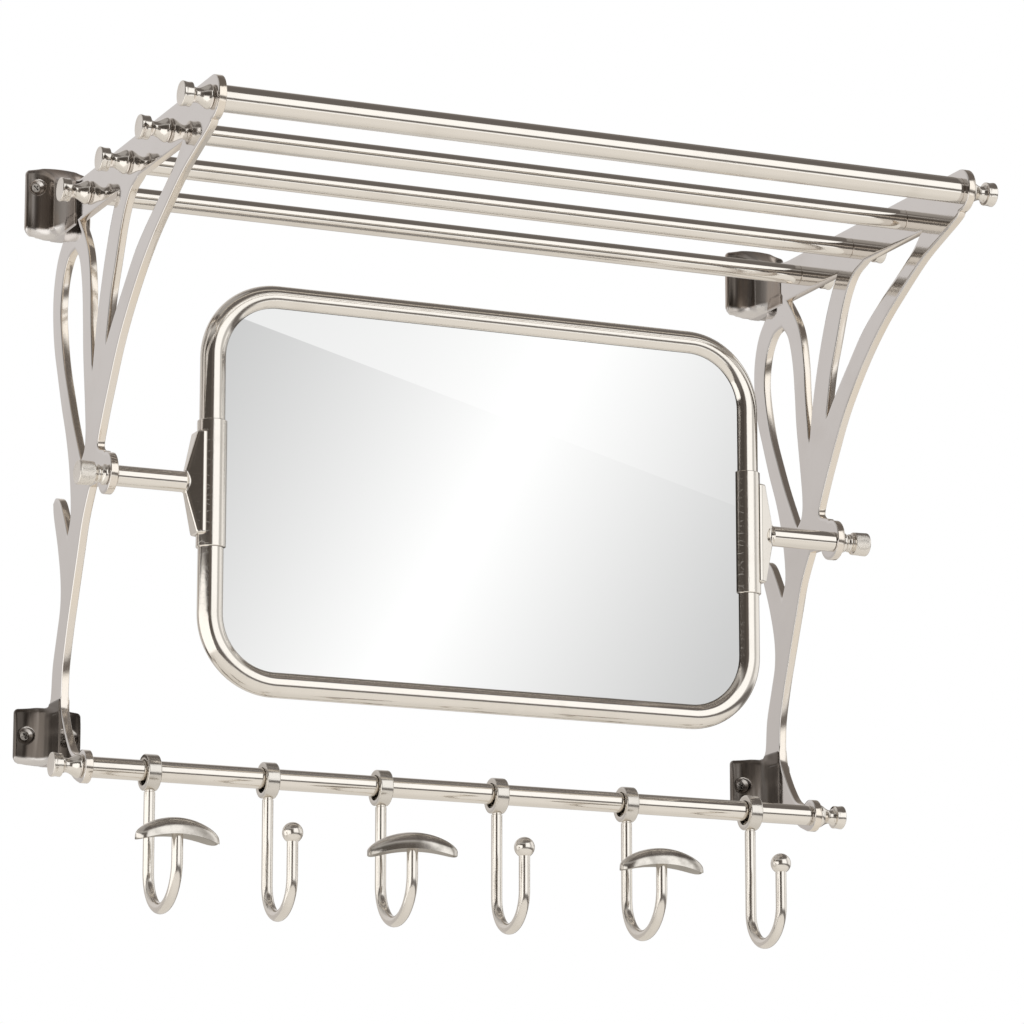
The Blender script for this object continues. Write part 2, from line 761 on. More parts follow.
def skin(name, field, low, high, pitch):
    """Mesh of the surface where a distance field is zero, kept in its box; all in millimetres."""
    start = np.array(low, float) - 1.5 * pitch
    ticks = [np.arange(a, b + 2 * pitch, pitch) for a, b in zip(start, high)]
    grid = np.meshgrid(*ticks, indexing="ij")
    depth = field(*grid)
    inside = depth < 0
    total = np.zeros(depth.shape + (3,))
    count = np.zeros(depth.shape)
    quads = []
    for axis in range(3):
        one = tuple(slice(0, -1) if k == axis else slice(None) for k in range(3))
        two = tuple(slice(1, None) if k == axis else slice(None) for k in range(3))
        cross = inside[one] != inside[two]
        cells = np.argwhere(cross)
        spot = cells.astype(float)
        spot[:, axis] += depth[one][cross] / (depth[one][cross] - depth[two][cross])
        first, second = (k for k in range(3) if k != axis)
        ring = []
        for a, b in ((0, 0), (1, 0), (1, 1), (0, 1)):
            cell = cells.copy()
            cell[:, first] -= a
            cell[:, second] -= b
            np.add.at(total, tuple(cell.T), spot)
            np.add.at(count, tuple(cell.T), 1)
            ring.append(cell)
        quads.append(np.stack(ring, 1))
    used = count > 0
    number = np.cumsum(used.ravel()).reshape(used.shape) - 1
    points = start + pitch * total[used] / count[used][:, None]
    probe, settling_rounds = 0.02, 3
    for _ in range(settling_rounds):
        here = field(*points.T)
        slope = np.stack([(field(*(points + step).T) - here) / probe for step in probe * np.eye(3)], 1)
        move = slope * (here / np.maximum((slope ** 2).sum(1), 0.2))[:, None]
        points = np.clip(points - np.clip(move, -0.5 * pitch, 0.5 * pitch), low, high)
    faces = [tuple(int(number[tuple(cell)]) for cell in ring) for group in quads for ring in group]
    return mesh_of(name, points, faces)


# Wall plates, bosses and brackets, in millimetres
BRACKET_X = 230
BRACKET_HALF = 2.5
PLATE_HALF = 20
PLATE_THICK = 4.6
PLATE_EDGE = 1.2
BOSS_HALF = 2.4
BOSS_FLARE = 5.1
CORE_HALF = 2.46
WEB_HALF = 1.8
CORE_FILLET = 2.0
WEB_FILLET = 3.5
SCREW_OFFSET = 14.0
SCREW_HOLE = 2.5


def sweep(u, d, z, half_height, start, end):
    """Distance to a wall plate's pillowed face that sweeps up into its boss, endless up and down."""
    sag = sizes().plate_pillow / MM
    pillow = sag * np.abs(z / half_height) ** 3 + 0.3 * sag * np.abs(u / PLATE_HALF) ** 3
    plate = shared(np.abs(u) - PLATE_HALF, d - PLATE_THICK + pillow, PLATE_EDGE)
    run = np.clip((d - start) / (end - start), 0, 1)
    boss = np.maximum(np.abs(u) - BOSS_HALF - BOSS_FLARE * (1 - run) ** 2, d - end)
    return joined(plate, boss, sizes().plate_fillet / MM)


def screw_seats(body, u, d, z):
    """Takes the two countersunk holes out of a wall plate."""
    across = np.hypot(np.abs(u) - SCREW_OFFSET, z)
    hole = (across - SCREW_HOLE - np.clip(d - 2.3, 0, 2.2)) * 0.75
    return shared(body, -hole, 0.35)


def seated(plate, core, web, u, d, z):
    """Joins a wall plate with its boss's core and web and drills it; z is taken from the screws."""
    body = joined(plate, common(np.abs(u) - CORE_HALF, core, 1 - d), CORE_FILLET)
    body = joined(body, common(np.abs(u) - WEB_HALF, web), WEB_FILLET)
    return screw_seats(np.maximum(body, -d), u, d, z)


def upper_seat(u, y, z):
    """Distance to an upper wall plate with its boss, from the middle of the bracket."""
    d = -y
    sweep_radius, sweep_depth = 91.8, 55

    def top(depth):
        drop = np.sqrt(sweep_radius ** 2 - np.clip(sweep_depth - depth, 0, sweep_depth) ** 2)
        return 158.5 + sweep_radius - drop

    bow = (u / PLATE_HALF) ** 2
    eased_top = top(np.maximum(d - 3.5 * (1 - np.clip((d - 4) / 16, 0, 1)), 0)) - 2.3 * bow
    plate = shared(sweep(u, d, z - 155, 21.8, 17, 42), z - eased_top, 2.5)
    plate = shared(plate, 133.2 + bow - z, 6.0)
    core = common(133.5 - z, z - top(d) + 0.02, d - 43.2)
    web = common(12.9 + 1.04 * (z - 119.5) - d, d - 57.5 + 0.889 * (z - 122), 126 - z, z - 137)
    return seated(plate, core, web, u, d, z - 164)


def lower_seat(u, y, z):
    """Distance to a lower wall plate with its boss, from the middle of the bracket."""
    d = -y
    bow = (u / PLATE_HALF) ** 2
    fall = 0.2 * np.clip(d - 5, 0, 28)
    plate = shared(sweep(u, d, z + 164, 16.8, 8, 32), z + 147.2 + bow + fall, 2.5)
    plate = shared(plate, -180.8 + bow - z, 4.0)
    top = -149.2 + 2.0 * np.clip((d - 8) / 4, 0, 1)
    core = common(-180.7 - z, z - top, d - 32.7)
    web = common(15.5 + 0.2 * (z + 143) - d, d - 31.0, -152 - z, z + 140.5)
    return seated(plate, core, web, u, d, z + 164)


class RACK_OT_brackets(bpy.types.Operator):
    """Makes the two cast side brackets with their wall plates and bosses"""
    bl_idname = "rack.brackets"
    bl_label = "Side brackets"

    def execute(self, context):
        seats = {
            "upper": skin("upper_seat", upper_seat, (-20, -60, 124), (20, 0, 176.8), 0.7),
            "lower": skin("lower_seat", lower_seat, (-20, -34, -181), (20, 0, -138), 0.7),
        }
        for mesh in seats.values():
            mesh.transform(Matrix.Scale(MM, 4))
        for side, sign in SIDES.items():
            node = f"{side}_bracket"
            half = BRACKET_HALF * MM
            centre = sign * BRACKET_X * MM
            loops = side_loops(node, centre - half)
            mesh = cut_plate(node, loops, centre, half, sizes().cast_edge, sizes().cast_drop)
            add_piece(
                f"{side}_bracket_casting", mesh, "rack", "polished_casting", [node],
                degrees=40, flat=0)
            mesh.materials.append(finish("casting_openings"))
            for level, seat in seats.items():
                mesh = seat.copy()
                mesh.transform(Matrix.Translation((centre, 0, 0)))
                add_piece(
                    f"{side}_{level}_wall_plate", mesh, "rack", "plate_casting", degrees=70)
        return {"FINISHED"}


# ---------------------------------------------------------------- wall screws

def cross_outline(reach, half):
    """Outline of a cross recess, counted round from its right arm."""
    corner = [(reach, -half), (reach, half), (half, half)]
    quarters = (1, 0), (0, 1), (-1, 0), (0, -1)
    return [(c * x - s * y, s * x + c * y) for c, s in quarters for x, y in corner]


class RACK_OT_wall_screws(bpy.types.Operator):
    """Makes the eight countersunk wall screws with their cross recesses"""
    bl_idname = "rack.wall_screws"
    bl_label = "Wall screws"

    def execute(self, context):
        patterns = [m["dims"] for m in frame["record"]["mounts"] if m["kind"] == "bolt_pattern"]
        places = {
            (sx * dims["spacing_x_mm"] * MM / 2, sz * dims["spacing_y_mm"] * MM / 2)
            for dims in patterns for sx in (-1, 1) for sz in (-1, 1)}
        if len(places) != 8:
            raise RuntimeError("the record should name eight wall screws")
        turn_apart = 23.0
        for number, (x, z) in enumerate(sorted(places), 1):
            mesh = self.screw(sizes().screw_radius, Vector((x, 0, z)), turn_apart * number)
            add_piece(f"wall_screw_{number}", mesh, "rack", "screw_steel")
        return {"FINISHED"}

    def screw(self, radius, foot, turn):
        face, crown, recess = -3.0 * MM, 0.12 * MM, 1.3 * MM
        steps = 40
        cut = cross_outline(0.62 * radius, 0.14 * radius)
        deep = cross_outline(0.40 * radius, 0.10 * radius)
        tilt = Matrix.Rotation(math.radians(turn), 2)
        ring = circle(0.9 * radius, steps)

        def put(x, z, y):
            x, z = tilt @ Vector((x, z))
            return foot + Vector((x, y, z))

        points = [put(x, z, face) for x, z in ring] + [put(x, z, face - crown) for x, z in cut]
        points += [put(x, z, face + recess) for x, z in deep]
        flat = [Vector((x, z, 0)) for x, z in ring], [Vector((x, z, 0)) for x, z in cut]
        faces = [tuple(t) for t in tessellate_polygon(flat)]
        start, low = steps, steps + len(cut)
        for k in range(len(cut)):
            n = (k + 1) % len(cut)
            faces.append((start + k, start + n, low + n, low + k))
        faces.append(tuple(range(low, low + len(deep))))
        rim = [(radius, 0.28), (radius, 0.5), (0.66 * radius, 1.3), (0.66 * radius, 3.0)]
        last = list(range(steps))
        for r, back in rim:
            here = list(range(len(points), len(points) + steps))
            points += [put(x, z, face + back * MM) for x, z in circle(r, steps)]
            for k in range(steps):
                n = (k + 1) % steps
                faces.append((last[k], here[k], here[n], last[n]))
            last = here
        faces.append(tuple(last))
        return mesh_of("wall_screw", points, faces)


# ---------------------------------------------------------------- rods, finials and knobs

BORE_CLEARANCE = 0.05
BORE_STOP = 2.0


def rod_profile(length, radius, bore, chamfer):
    """Bored rod with chamfered ends, from 0 along its length."""
    spans = 12
    steps = [(0, bore), (0, radius - chamfer), (chamfer, radius)]
    steps += [(length * k / spans, radius) for k in range(1, spans)]
    steps += [(length - chamfer, radius), (length, radius - chamfer), (length, bore)]
    return steps


def blind(profile, length, capped):
    """The rod's profile with its bore stopped short of the capped end (0 start, 1 end)."""
    bore, stop = profile[0][1], BORE_STOP * MM
    if capped:
        return [(length - stop, 0), (length - stop, bore), *profile[:-1], (length, 0)]
    return [(0, 0), *profile[1:], (stop, bore), (stop, 0)]


def add_rod(node, body, ends=None, capped=None):
    """Bored rod of a node, or the part of it between the given ends, one of them capped."""
    low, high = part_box(node)
    centre = (low + high) / 2
    radius = (high.z - low.z) / 2
    first, last = ends or (low.x, high.x)
    start = Vector((first, centre.y, centre.z))
    bore = sizes().stud_radius + BORE_CLEARANCE * MM
    profile = rod_profile(last - first, radius, bore, sizes().rod_chamfer)
    if capped is not None:
        profile = blind(profile, last - first, capped)
    mesh = turned(node, profile, start, (1, 0, 0), closed=capped is None)
    return add_piece(f"{node}_tube", mesh, body, "turned_nickel", [node])


# A finial's bead and neck: distance from the bracket in millimetres, share of the button's radius
FINIAL_LINE = (
    (0, 0.85), (0.5, 0.945), (1.2, 0.99), (1.9, 1.0), (3.2, 0.92), (4.7, 0.79), (6.2, 0.67),
    (7.7, 0.595), (8.9, 0.58), (10.1, 0.625), (10.9, 0.70), (11.4, 0.745))

# The same for a pivot knob, whose grip is longer and whose neck has two small beads
KNOB_LINE = (
    (0, 0.76), (0.6, 0.83), (1.5, 0.86), (2.6, 0.80), (3.5, 0.68), (4.2, 0.69), (5.1, 0.77),
    (6.0, 0.76), (6.8, 0.65), (7.4, 0.60), (7.9, 0.62))


def smooth_line(points, steps):
    """Smooth curve through the given points."""
    ends = [points[0], *points, points[-1]]
    line = []
    for a, b, c, d in zip(ends, ends[1:], ends[2:], ends[3:]):
        for k in range(steps):
            t = k / steps
            line.append(tuple(
                q + 0.5 * t * (r - p + t * (2 * p - 5 * q + 4 * r - s + t * (3 * (q - r) + s - p)))
                for p, q, r, s in zip(a, b, c, d)))
    return [*line, points[-1]]


def add_finial(node, side, body, fluted):
    """Turned finial with bead, hollow neck, button and stud, or a pivot knob with a fluted grip."""
    size = sizes()
    low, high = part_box(node)
    centre = (low + high) / 2
    sign = SIDES[side]
    radius = (high.z - low.z) / 2
    tip = high.x if sign > 0 else low.x
    stud_tip = low.x if sign > 0 else high.x
    length = size.finial_length
    foot = abs(tip) - length
    stud = foot - abs(stud_tip)
    cap = size.grip_length if fluted else size.button_length
    button = length - cap
    stud_chamfer, fillet, edge = 0.5 * MM, 0.4 * MM, 0.55 * MM
    profile = [(-stud, 0), (-stud, size.stud_radius - stud_chamfer)]
    profile += [(-stud + stud_chamfer, size.stud_radius), (0, size.stud_radius)]
    line = smooth_line(KNOB_LINE if fluted else FINIAL_LINE, 5)
    profile += [(along * MM, share * radius) for along, share in line]
    taper = 0.03
    back = 1 - taper
    profile += [(button + fillet + a, back * radius - fillet + b) for a, b in arc(0, 0, fillet, 165, 90, 5)]
    spans, grip_start, grip_run = 8, 0.8 * MM, cap - 1.9 * MM
    grip = [button + grip_start + grip_run * k / spans for k in range(spans + 1)]
    waist = 0.0 if fluted else 0.035
    profile += [(place, radius * (back + taper * k / spans - waist * math.sin(math.pi * k / spans)))
                for k, place in enumerate(grip)]
    profile += [(length - edge + a, radius - edge + b) for a, b in arc(0, 0, edge, 90, 8, 8)]
    profile += [(length - 0.02 * MM, radius - 1.0 * MM), (length - 0.12 * MM, radius - 1.5 * MM),
                (length - 0.05 * MM, radius * 0.35), (length - 0.04 * MM, 0)]

    flutes = None
    steps = size.round_steps
    if fluted:
        steps = size.flute_count * 6
        first, last, fade = grip[0], grip[-1], 0.5 * MM

        def flutes(place, t):
            inside = min(max((place - first) / fade + 1, 0), 1)
            inside *= min(max((last - place) / fade + 1, 0), 1)
            return size.flute_depth * inside * (0.5 - 0.5 * math.cos(size.flute_count * t))

    mesh = turned(
        node, profile, Vector((sign * foot, centre.y, centre.z)), (sign, 0, 0), steps=steps, flutes=flutes)
    material = "knurled_nickel" if fluted else "finial_nickel"
    piece = add_piece(f"{node}_turned", mesh, body, material, [node], degrees=38)
    if fluted:
        mesh.materials.append(finish("finial_nickel"))
        for face in mesh.polygons:
            face.material_index = int(abs(face.center.x) < foot + button)
    return piece


class RACK_OT_shelf(bpy.types.Operator):
    """Makes the four shelf rods, the hook rail and their finials"""
    bl_idname = "rack.shelf"
    bl_label = "Rods and finials"

    def execute(self, context):
        for number in range(1, 5):
            add_rod(f"shelf_rod_{number}", "rack")
            for side in SIDES:
                add_finial(f"shelf_finial_{side}_{number}", side, "rack", False)
        add_rod("hook_rail", "rack")
        for side in SIDES:
            add_finial(f"rail_finial_{side}", side, "rack", False)
        return {"FINISHED"}


# ---------------------------------------------------------------- mirror

# Radius of the mirror's tube, in millimetres
TUBE_RADIUS = 7.5


def slotted_section(outer, inner, slot, steps=48):
    """Tube section, open on its inner side, as (outward, forward) points."""
    gap = math.degrees(math.asin(slot / outer))
    inner_gap = math.degrees(math.asin(slot / inner))
    lip = min(0.25 * MM, (outer - inner) / 4)
    shape = arc(0, 0, outer, 180 - gap - 3, -180 + gap + 3, steps)
    shape += arc(0, 0, outer - lip, -180 + gap, -180 + gap, 0)
    shape += arc(0, 0, inner, -180 + inner_gap, 180 - inner_gap, steps // 2)
    shape += arc(0, 0, outer - lip, 180 - gap, 180 - gap, 0)
    return shape


class RACK_OT_mirror_frame(bpy.types.Operator):
    """Makes the two halves of the mirror's tube with the slot for the glass"""
    bl_idname = "rack.mirror_frame"
    bl_label = "Mirror frame"

    def execute(self, context):
        low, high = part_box("mirror_frame_upper")
        radius = (high.y - low.y) / 2
        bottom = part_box("mirror_frame_lower")[0].z
        pivot = Vector((0, (low.y + high.y) / 2, (high.z + bottom) / 2))
        side_x = high.x - radius
        top_z = high.z - pivot.z - radius
        bend, bend_steps = sizes().tube_bend, 24
        section = slotted_section(radius, radius - sizes().tube_wall, sizes().slot_half)
        for half, up in (("upper", 1), ("lower", -1)):
            path = [((side_x, 0), (1, 0))]
            path += [((side_x, top_z - bend), (1, 0))]
            for k in range(1, bend_steps + 1):
                t = math.radians(90 * k / bend_steps)
                out = (math.cos(t), math.sin(t))
                path.append(((side_x - bend + bend * out[0], top_z - bend + bend * out[1]), out))
            path += [((-x, z), (-a, c)) for (x, z), (a, c) in reversed(path)]
            stations = []
            for (x, z), (a, c) in path:
                origin = pivot + Vector((x, 0, up * z))
                stations.append((origin, Vector((a, 0, up * c)), Vector((0, -1, 0)), None))
            mesh = swept(f"mirror_frame_{half}", section, stations)
            add_piece(
                f"mirror_frame_{half}_tube", mesh, "mirror", "frame_nickel",
                [f"mirror_frame_{half}"], degrees=40)
        return {"FINISHED"}


def rounded_sheet(name, low, high, corner, edge, steps=14):
    """Flat sheet in the mirror's plane with round corners and ground edges."""
    centre = (low + high) / 2
    half_x = (high.x - low.x) / 2
    half_z = (high.z - low.z) / 2
    points, faces, rings = [], [], []
    for inset, y in ((edge, low.y), (0, low.y + edge), (0, high.y - edge), (edge, high.y)):
        ring = []
        for cx, cz, start in ((1, 1, 0), (-1, 1, 90), (-1, -1, 180), (1, -1, 270)):
            for x, z in arc(0, 0, corner - inset, start, start + 90, steps):
                ring.append(len(points))
                points.append(Vector((
                    centre.x + cx * (half_x - corner) + x, y, centre.z + cz * (half_z - corner) + z)))
        rings.append(ring)
    count = len(rings[0])
    for a, b in zip(rings, rings[1:]):
        faces += [(a[k], a[(k + 1) % count], b[(k + 1) % count], b[k]) for k in range(count)]
    faces.append(tuple(rings[0]))
    faces.append(tuple(reversed(rings[-1])))
    return mesh_of(name, points, faces)


class RACK_OT_mirror_glass(bpy.types.Operator):
    """Makes the mirror glass and the painted panel behind it"""
    bl_idname = "rack.mirror_glass"
    bl_label = "Mirror glass and back panel"

    def execute(self, context):
        corner, panel_edge = sizes().glass_corner, 0.5 * MM
        low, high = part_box("mirror_glass")
        mesh = rounded_sheet("mirror_glass", low, high, corner, sizes().glass_edge)
        add_piece(
            "mirror_pane", mesh, "mirror", "mirror_glass_finish", ["mirror_glass"],
            degrees=20)
        low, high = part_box("mirror_back_panel")
        mesh = rounded_sheet("mirror_back_panel", low, high, corner, panel_edge)
        add_piece(
            "mirror_back_board", mesh, "mirror", "painted_panel", ["mirror_back_panel"],
            degrees=20)
        return {"FINISHED"}


class RACK_OT_pivots(bpy.types.Operator):
    """Makes the sleeves, saddles, pivot rods and fluted knobs that hold the mirror"""
    bl_idname = "rack.pivots"
    bl_label = "Mirror pivots"

    def execute(self, context):
        for side, sign in SIDES.items():
            self.sleeve(side, sign)
            self.saddle(side, sign)
            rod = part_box(f"pivot_rod_{side}")
            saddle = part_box(f"pivot_saddle_{side}")
            seat = 0.4 * MM
            ends = (saddle[1].x - seat, rod[1].x) if sign > 0 else (rod[0].x, saddle[0].x + seat)
            add_rod(f"pivot_rod_{side}", "mirror", ends, capped=0 if sign > 0 else 1)
            add_finial(f"pivot_knob_{side}", side, "mirror", True)
        return {"FINISHED"}

    def saddle(self, side, sign):
        """Saddle with a ridge that narrows outward and a small cone under the pivot rod."""
        node = f"pivot_saddle_{side}"
        low, high = (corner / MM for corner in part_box(node))
        sleeve_low, sleeve_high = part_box(f"frame_sleeve_{side}")
        sleeve = (sleeve_high.y - sleeve_low.y) / 2 / MM
        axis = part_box("mirror_frame_upper")[1].x / MM - TUBE_RADIUS
        centre = (low + high) / 2
        height = max(abs(low.x), abs(high.x)) - axis
        half = (high.z - low.z) / 2
        end_height, flat_half, ridge_half, flare = 10.5, 5, 2.3, 4.9
        cone_radius, fillet = 5.95, 1.2

        def body(x, y, z):
            u = sign * x - axis
            v = np.abs(y - centre.y)
            w = np.abs(z - centre.z)
            top = height - (height - end_height) * np.clip((w - flat_half) / (half - flat_half), 0, 1)
            run = np.clip((u - TUBE_RADIUS) / (height - TUBE_RADIUS), 0, 1)
            side_face = ridge_half + flare * (1 - run) + 0.3 * np.exp(-((top - u) / 0.9) ** 2)
            edge = sizes().saddle_edge / MM
            shape = shared(shared((v - side_face) * 0.85, u - top, edge), w - half, fillet)
            cone = np.hypot(v, w) - cone_radius + 1.15 * (height - u)
            shape = joined(shape, np.maximum(cone * 0.65, u - height), fillet)
            return np.maximum(shape, sleeve + 0.05 - np.hypot(u, v))

        mesh = skin(node, body, tuple(low), tuple(high), 0.5)
        mesh.transform(Matrix.Scale(MM, 4))
        add_piece(f"{node}_cast", mesh, "mirror", "frame_nickel", [node], degrees=60)

    def sleeve(self, side, sign):
        node = f"frame_sleeve_{side}"
        low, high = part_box(node)
        centre = (low + high) / 2
        outer = (high.y - low.y) / 2
        inner = (TUBE_RADIUS + 0.05) * MM
        edge = 0.35 * MM
        length = high.z - low.z
        plain = slotted_section(outer, inner, sizes().slot_half)
        narrow = slotted_section(outer - edge, inner, sizes().slot_half)
        middle_x = sign * (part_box("mirror_frame_upper")[1].x - TUBE_RADIUS * MM)
        stations = []
        for rise, shape in ((0, narrow), (edge, plain), (length - edge, plain), (length, narrow)):
            origin = Vector((middle_x, centre.y, low.z + rise))
            stations.append((origin, Vector((sign, 0, 0)), Vector((0, -1, 0)), shape))
        mesh = swept(node, plain, stations)
        add_piece(f"{node}_band", mesh, "mirror", "sleeve_nickel", [node], degrees=40)


# ---------------------------------------------------------------- hooks and hat rests

class RACK_OT_hooks(bpy.types.Operator):
    """Makes the six hooks: ring, bent stem and, on three of them, a ball"""
    bl_idname = "rack.hooks"
    bl_label = "Hooks"

    def execute(self, context):
        for number in range(1, 7):
            self.ring(number)
            self.stem(number)
            if number in BALLS:
                self.ball(number)
        return {"FINISHED"}

    def ring(self, number):
        node = f"hook_ring_{number}"
        low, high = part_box(node)
        centre = (low + high) / 2
        outer = (high.z - low.z) / 2
        inner, edge, back = 7.25 * MM, 0.8 * MM, 0.5 * MM
        nick = back * 0.3
        half = (high.x - low.x) / 2
        profile = arc(half - edge, outer - edge, edge, 0, 90, 6)
        profile += [(-a, b) for a, b in reversed(profile)]
        profile += [(-half, inner + back), (-half + nick, inner + nick), (-half + back, inner)]
        profile += [(half - back, inner), (half - nick, inner + nick), (half, inner + back)]
        mesh = turned(node, profile, centre, (1, 0, 0), closed=True)
        add_piece(f"{node}_collar", mesh, f"ring_{number}", "ring_nickel", [node], degrees=40)

    def stem(self, number):
        node = f"hook_stem_{number}"
        low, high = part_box(node)
        radius = (high.x - low.x) / 2
        x = (low.x + high.x) / 2
        back, front = high.y - radius, low.y + radius
        bend = (back - front) / 2
        bend_z = low.z + radius + bend
        ring_z = middle(f"hook_ring_{number}").z
        top, joint, seat = ring_z - 9.4 * MM, ring_z - 10.5 * MM, 6 * MM
        tip = (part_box(f"hat_rest_{number}")[0].z + seat if number in HAT_RESTS
               else middle(f"hook_ball_{number}").z)
        section = circle(radius, 32)
        neck = [(a * 0.86, b * 0.86) for a, b in section]
        side = Vector((1, 0, 0))
        out = Vector((0, 1, 0))
        spans, bend_steps = 6, 48
        necked = (top, neck), (joint, neck), (joint - 0.45 * MM, neck), (joint - 0.75 * MM, None)
        stations = [(Vector((x, back, z)), side, out, own) for z, own in necked]
        stations += [(Vector((x, back, joint + (bend_z - joint) * k / spans)), side, out, None)
                     for k in range(1, spans)]
        for k in range(bend_steps + 1):
            t = math.pi * k / bend_steps
            arm = Vector((0, math.cos(t), -math.sin(t)))
            stations.append((Vector((x, (back + front) / 2, bend_z)) + arm * bend, side, arm, None))
        stations += [(Vector((x, front, bend_z + (tip - bend_z) * k / spans)), side, -out, None)
                     for k in range(1, spans + 1)]
        mesh = swept(node, section, stations)
        add_piece(f"{node}_bent", mesh, f"hook_{number}", "hook_nickel", [node], degrees=40)

    def ball(self, number):
        node = f"hook_ball_{number}"
        low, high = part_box(node)
        centre = (low + high) / 2
        radius = (high.x - low.x) / 2
        stem, foot, spans = 3.3 * MM, -radius * 0.8, 40
        under = -math.degrees(math.acos(stem * 0.94 / radius))
        underside = radius * math.sin(math.radians(under))
        profile = [(foot, 0), (foot, stem * 0.80), (underside - 0.15 * MM, stem * 0.9)]
        for k in range(spans + 1):
            t = math.radians(under + (90 - under) * k / spans)
            profile.append((radius * math.sin(t), max(radius * math.cos(t), 0)))
        profile[-1] = (profile[-1][0], 0)
        mesh = turned(node, profile, centre, (0, 0, 1), steps=72)
        add_piece(f"{node}_knob", mesh, f"hook_{number}", "hook_nickel", [node], degrees=50)


class RACK_OT_hat_rests(bpy.types.Operator):
    """Makes the three domed hat rests with their cupped undersides"""
    bl_idname = "rack.hat_rests"
    bl_label = "Hat rests"

    # How far each rest is turned on its stem, in degrees
    turns = {1: 7.0, 3: -21.0, 5: -4.0}

    def execute(self, context):
        for number in HAT_RESTS:
            low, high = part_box(f"hat_rest_{number}")
            crest = Vector(((low.x + high.x) / 2, (low.y + high.y) / 2, high.z))
            mesh = self.boat(crest, self.turns[number])
            add_piece(
                f"hat_rest_{number}_dome", mesh, f"rest_{number}", "rest_nickel",
                [f"hat_rest_{number}"], degrees=60)
        return {"FINISHED"}

    def boat(self, crest, turn):
        """Boat-shaped bar that droops to its ends; widths are half widths."""
        half, width, tip_width = 25.75 * MM, 7.5 * MM, 5.0 * MM
        crown, hollow, thick = 42 * MM, 70 * MM, 10 * MM
        cup = sizes().rest_cup
        along, around, under = 72, 28, 12
        fullness, end_share = 0.86, 0.35
        points, faces, rows = [], [], []
        spin = Matrix.Rotation(math.radians(turn), 3, "Z")
        for i in range(1, along):
            u = -math.cos(math.pi * i / along)
            x = half * u
            blunt = math.sqrt(max(1 - abs(u) ** 11, 0))
            w = (tip_width + (width - tip_width) * (1 - u * u)) * blunt
            top = math.sqrt(crown ** 2 - x ** 2) - crown
            floor = math.sqrt(hollow ** 2 - x ** 2) - hollow - thick
            mid = (top + floor) / 2
            keep = end_share + (1 - end_share) * blunt
            top = mid + (top - mid) * keep
            floor = mid + (floor - mid) * keep
            rise = top - floor
            row = []
            for k in range(around + 1):
                t = math.pi * k / around
                c, s = math.cos(t), math.sin(t)
                y = w * math.copysign(abs(c) ** fullness, c)
                z = floor + rise * s ** fullness
                row.append(len(points))
                points.append(crest + spin @ Vector((x, y, z)))
            lip = 0.55 * MM * blunt
            depth = min(cup, 0.45 * rise) * blunt
            for k in range(1, under):
                v = -1 + 2 * k / under
                y = (w - lip) * v
                z = floor + depth * (1 - v ** 4)
                row.append(len(points))
                points.append(crest + spin @ Vector((x, y, z)))
            rows.append(row)
        count = len(rows[0])
        for a, b in zip(rows, rows[1:]):
            faces += [(a[k], b[k], b[(k + 1) % count], a[(k + 1) % count]) for k in range(count)]
        faces.append(tuple(reversed(rows[0])))
        faces.append(tuple(rows[-1]))
        return mesh_of("hat_rest", points, faces)


# ---------------------------------------------------------------- studio

# The camera of the photograph: its place in metres, its turn to the right and its tilt up in degrees
CAMERA_PLACE = (-1.0999, -2.6594, -0.6326)
CAMERA_TURN = 23.641
CAMERA_RISE = 12.208


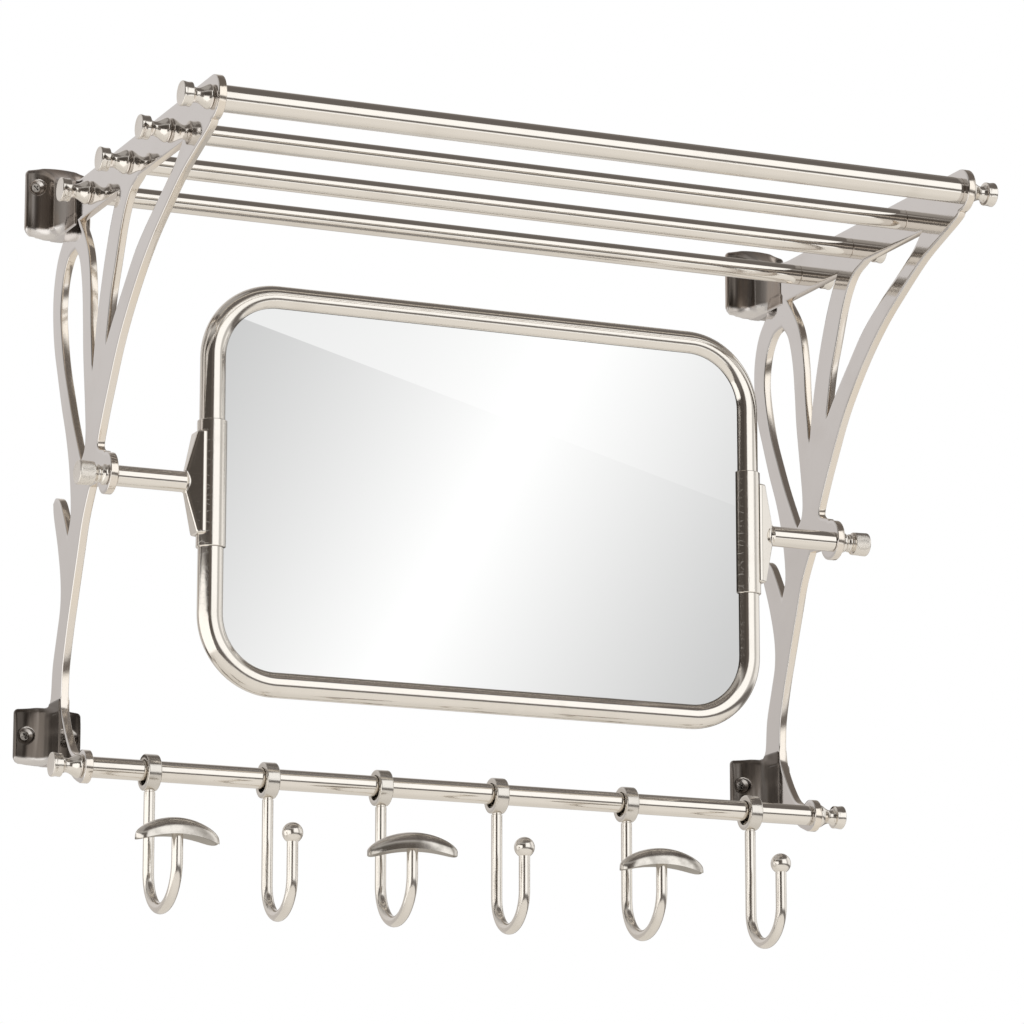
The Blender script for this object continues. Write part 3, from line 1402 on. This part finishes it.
class RACK_OT_studio(bpy.types.Operator):
    """Sets the floor, the soft studio surroundings and the camera"""
    bl_idname = "rack.studio"
    bl_label = "Studio"

    def execute(self, context):
        self.floor()
        self.card()
        self.surroundings(context)
        self.camera(context)
        context.scene.view_settings.view_transform = "Standard"
        return {"FINISHED"}

    def floor(self):
        reach, steps = 2.9, 96
        points = [(x, y, -studio().floor_drop) for x, y in circle(reach, steps)]
        mesh = mesh_of("studio_floor", points, [tuple(range(steps))])
        plane = finished("studio_floor", mesh, "pale_floor")

    def card(self):
        x, near, far, low, high = -0.75, -0.9, 0.4, -0.5, 0.03
        corners = [(x, near, low), (x, far, low), (x, far, high), (x, near, high)]
        mesh = mesh_of("light_card", corners, [(0, 1, 2, 3)])
        plane = finished("light_card", mesh, "light_card")
        plane.visible_camera = False
        plane.visible_diffuse = False
        plane.visible_shadow = False

    def surroundings(self, context):
        """Bands of light and dark that the metal mirrors.

        A band stands at a turn about the rack (0 in front of it, 90 on its right) and at a rise above
        the level, both in degrees."""
        world = bpy.data.worlds.new("soft_studio")
        context.scene.world = world
        sheet = Sheet(world)
        x, y, z = sheet.parts(sheet.node("ShaderNodeTexCoord", out="Generated"))
        rise = sheet.node("ShaderNodeMath", {"operation": "ARCSINE"}, {0: z}) * (180 / math.pi)
        turn = sheet.node("ShaderNodeMath", {"operation": "ARCTAN2"}, {0: x, 1: -y}) * (180 / math.pi)
        side = 1 - sheet.band(turn, -140.0, 78.0, 8.0)
        wall = sheet.mix(sheet.step(rise, 6.0, 17.0), (0.60, 0.57, 0.545), (0.73, 0.705, 0.69))
        room = sheet.mix(side, (0.60, 0.585, 0.565), wall)
        right = sheet.band(turn, 66.0, 118.0, 6.0)
        room = sheet.mix(right, room, (0.98, 0.97, 0.95))
        far = sheet.band(turn, 124.0, 152.0, 5.0)
        room = sheet.mix(far, room, (0.30, 0.275, 0.25))
        left = sheet.band(turn, -122.0, -9.0, 5.0) * sheet.step(rise, 42.0, 24.0)
        shade = sheet.mix(sheet.step(turn, -36.0, -26.0), (0.078, 0.068, 0.060), (0.12, 0.104, 0.092))
        room = sheet.mix(left, room, shade)
        box = sheet.band(turn, -7.0, 43.0, 4.0)
        room = sheet.mix(box, room, (1.22, 1.22, 1.21))
        gap = sheet.band(rise, -19.5, -4.0, 4.0) * sheet.band(turn, -75.0, 120.0, 10.0)
        room = sheet.mix(gap, room, (0.17, 0.155, 0.145))
        ceiling = sheet.step(rise, 38.0, 44.0) * sheet.step(y, 0.95, 0.1)
        ceiling = ceiling * (1 - 0.55 * sheet.band(turn, -150.0, -50.0, 12.0))
        room = sheet.mix(ceiling, room, (0.158, 0.142, 0.132))
        white = (1.0, 1.0, 1.0)
        seen = sheet.mix(sheet.node("ShaderNodeLightPath", out="Is Camera Ray"), room, white)
        light = sheet.node("ShaderNodeBackground", {}, {"Color": seen, "Strength": 1.0})
        sheet.node("ShaderNodeOutputWorld", {}, {"Surface": light})

    def camera(self, context):
        data = bpy.data.cameras.new("photo_camera")
        data.lens = studio().lens
        data.sensor_width = 36
        data.sensor_fit = "HORIZONTAL"
        data.clip_end = 50
        eye = bpy.data.objects.new("photo_camera", data)
        context.scene.collection.objects.link(eye)
        a, e = math.radians(CAMERA_TURN), math.radians(CAMERA_RISE)
        ahead = Vector((math.sin(a) * math.cos(e), math.cos(a) * math.cos(e), math.sin(e)))
        eye.location = CAMERA_PLACE
        eye.rotation_euler = ahead.to_track_quat("-Z", "Y").to_euler()
        context.scene.camera = eye


class RACK_PT_panel(bpy.types.Panel):
    """Lists the steps that dress the rack"""
    bl_idname = "RACK_PT_panel"
    bl_label = "Wall rack"
    bl_space_type = "VIEW_3D"
    bl_region_type = "UI"
    bl_category = "Rack"

    def draw(self, context):
        layout = self.layout
        for operator in OPERATORS:
            layout.operator(operator.bl_idname)
        for group in (context.scene.rack_sizes, context.scene.rack_finishes, context.scene.rack_studio):
            box = layout.box()
            for name in group.__annotations__:
                box.prop(group, name)


OPERATORS = (
    RACK_OT_brackets,
    RACK_OT_wall_screws,
    RACK_OT_shelf,
    RACK_OT_mirror_frame,
    RACK_OT_mirror_glass,
    RACK_OT_pivots,
    RACK_OT_hooks,
    RACK_OT_hat_rests,
    RACK_OT_studio,
)
CLASSES = (RackSizes, RackFinishes, StudioLight, *OPERATORS, RACK_PT_panel)


def register():
    for kind in CLASSES:
        bpy.utils.register_class(kind)
    bpy.types.Scene.rack_sizes = PointerProperty(type=RackSizes)
    bpy.types.Scene.rack_finishes = PointerProperty(type=RackFinishes)
    bpy.types.Scene.rack_studio = PointerProperty(type=StudioLight)


def unregister():
    del bpy.types.Scene.rack_studio
    del bpy.types.Scene.rack_finishes
    del bpy.types.Scene.rack_sizes
    for kind in reversed(CLASSES):
        bpy.utils.unregister_class(kind)


def main():
    register()
    bpy.ops.rack.brackets()
    bpy.ops.rack.wall_screws()
    bpy.ops.rack.shelf()
    bpy.ops.rack.mirror_frame()
    bpy.ops.rack.mirror_glass()
    bpy.ops.rack.pivots()
    bpy.ops.rack.hooks()
    bpy.ops.rack.hat_rests()
    bpy.ops.rack.studio()


if __name__ == "__main__":
    main()
